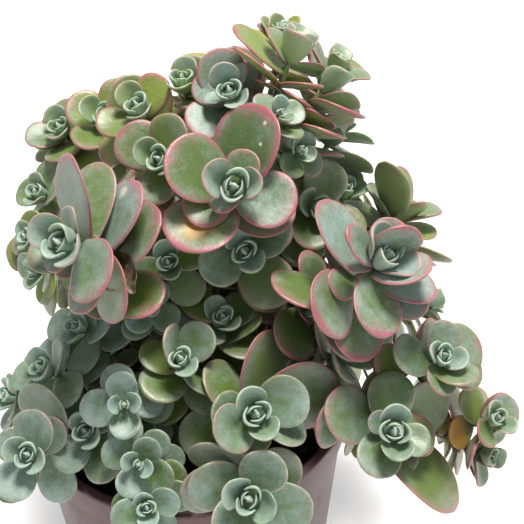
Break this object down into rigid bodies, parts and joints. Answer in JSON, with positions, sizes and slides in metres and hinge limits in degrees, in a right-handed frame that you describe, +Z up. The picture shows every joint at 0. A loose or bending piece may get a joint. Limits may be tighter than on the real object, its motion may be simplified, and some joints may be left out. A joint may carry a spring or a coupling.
{
  "type": "potted stonecrop",
  "caption": "Round plastic pot of soil with a full mound of leafy succulent stems: round fleshy leaves in pairs round tight pale buds, leaning and trailing over the rim.",
  "frame": {"origin": "middle of the pot's underside, on the ground", "axes": "+Z up along the pot's axis; -Y towards the side the plant is looked at from"},
  "size_m": [0.1914, 0.1745, 0.2334],
  "materials": {
    "pot_plastic": "matt",
    "potting_soil": "matt",
    "leaf": "satin"
  },
  "bodies": {
    "root": {"pot": "pot_plastic", "shoot_back_a": "leaf", "shoot_back_b": "leaf", "shoot_back_c": "leaf", "shoot_back_d": "leaf", "shoot_back_e": "leaf", "shoot_back_f": "leaf", "shoot_back_g": "leaf", "shoot_back_h": "leaf", "shoot_back_i": "leaf", "shoot_back_j": "leaf", "shoot_back_k": "leaf", "shoot_back_l": "leaf", "shoot_centre_low": "leaf", "shoot_crown_front": "leaf", "shoot_crown_low": "leaf", "shoot_crown_mid": "leaf", "shoot_crown_right": "leaf", "shoot_crown_side": "leaf", "shoot_crown_upper": "leaf", "shoot_far_left_a": "leaf", "shoot_far_left_b": "leaf", "shoot_front_low": "leaf", "shoot_front_mid": "leaf", "shoot_gap_a": "leaf", "shoot_gap_b": "leaf", "shoot_gap_c": "leaf", "shoot_gap_d": "leaf", "shoot_gap_e": "leaf", "shoot_left_back_a": "leaf", "shoot_left_back_b": "leaf", "shoot_left_corner": "leaf", "shoot_left_low": "leaf", "shoot_left_main": "leaf", "shoot_left_mid": "leaf", "shoot_left_under": "leaf", "shoot_mid_left_a": "leaf", "shoot_right_back": "leaf", "shoot_right_bud": "leaf", "shoot_right_far_a": "leaf", "shoot_right_far_b": "leaf", "shoot_right_gap": "leaf", "shoot_right_low": "leaf", "shoot_right_main": "leaf", "shoot_side_a": "leaf", "shoot_side_left_a": "leaf", "shoot_side_left_b": "leaf", "shoot_side_left_c": "leaf", "shoot_small_a": "leaf", "shoot_small_b": "leaf", "shoot_small_c": "leaf", "shoot_top_back": "leaf", "shoot_top_far": "leaf", "shoot_top_left": "leaf", "shoot_top_mid": "leaf", "soil": "potting_soil"}
  },
  "joints": []
}
